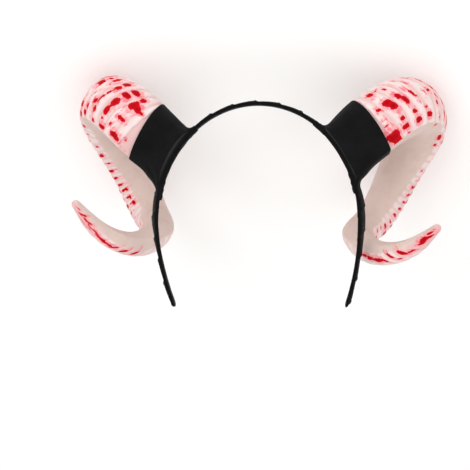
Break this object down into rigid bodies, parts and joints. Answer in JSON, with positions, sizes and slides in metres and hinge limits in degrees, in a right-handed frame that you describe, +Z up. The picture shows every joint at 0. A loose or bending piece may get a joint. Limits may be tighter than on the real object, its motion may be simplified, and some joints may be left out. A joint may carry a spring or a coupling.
{
  "type": "ram horns headband",
  "caption": "Costume headband with curled ram horns: a ribbon-wound hoop, ringed foam horns brushed with red paint, and black cloth sleeves round their roots",
  "frame": {"origin": "middle of the underside of the headband as it lies on the backs of its horns", "axes": "+X runs across the head from the right horn to the left one as the wearer's face is seen from in front, +Y runs level from the crown side to the ends of the hoop, +Z is up"},
  "size_m": [0.2824, 0.1424, 0.1434],
  "materials": {
    "ribbon": "satin black ribbon wound round a stiff hoop",
    "horn": "matt coated foam, warm white, with red paint brushed over the ridges",
    "cloth": "matt black stretch cloth"
  },
  "bodies": {
    "root": {"headband": "ribbon", "horn_left": "horn", "sleeve_left": "cloth", "horn_right": "horn", "sleeve_right": "cloth"}
  },
  "joints": []
}
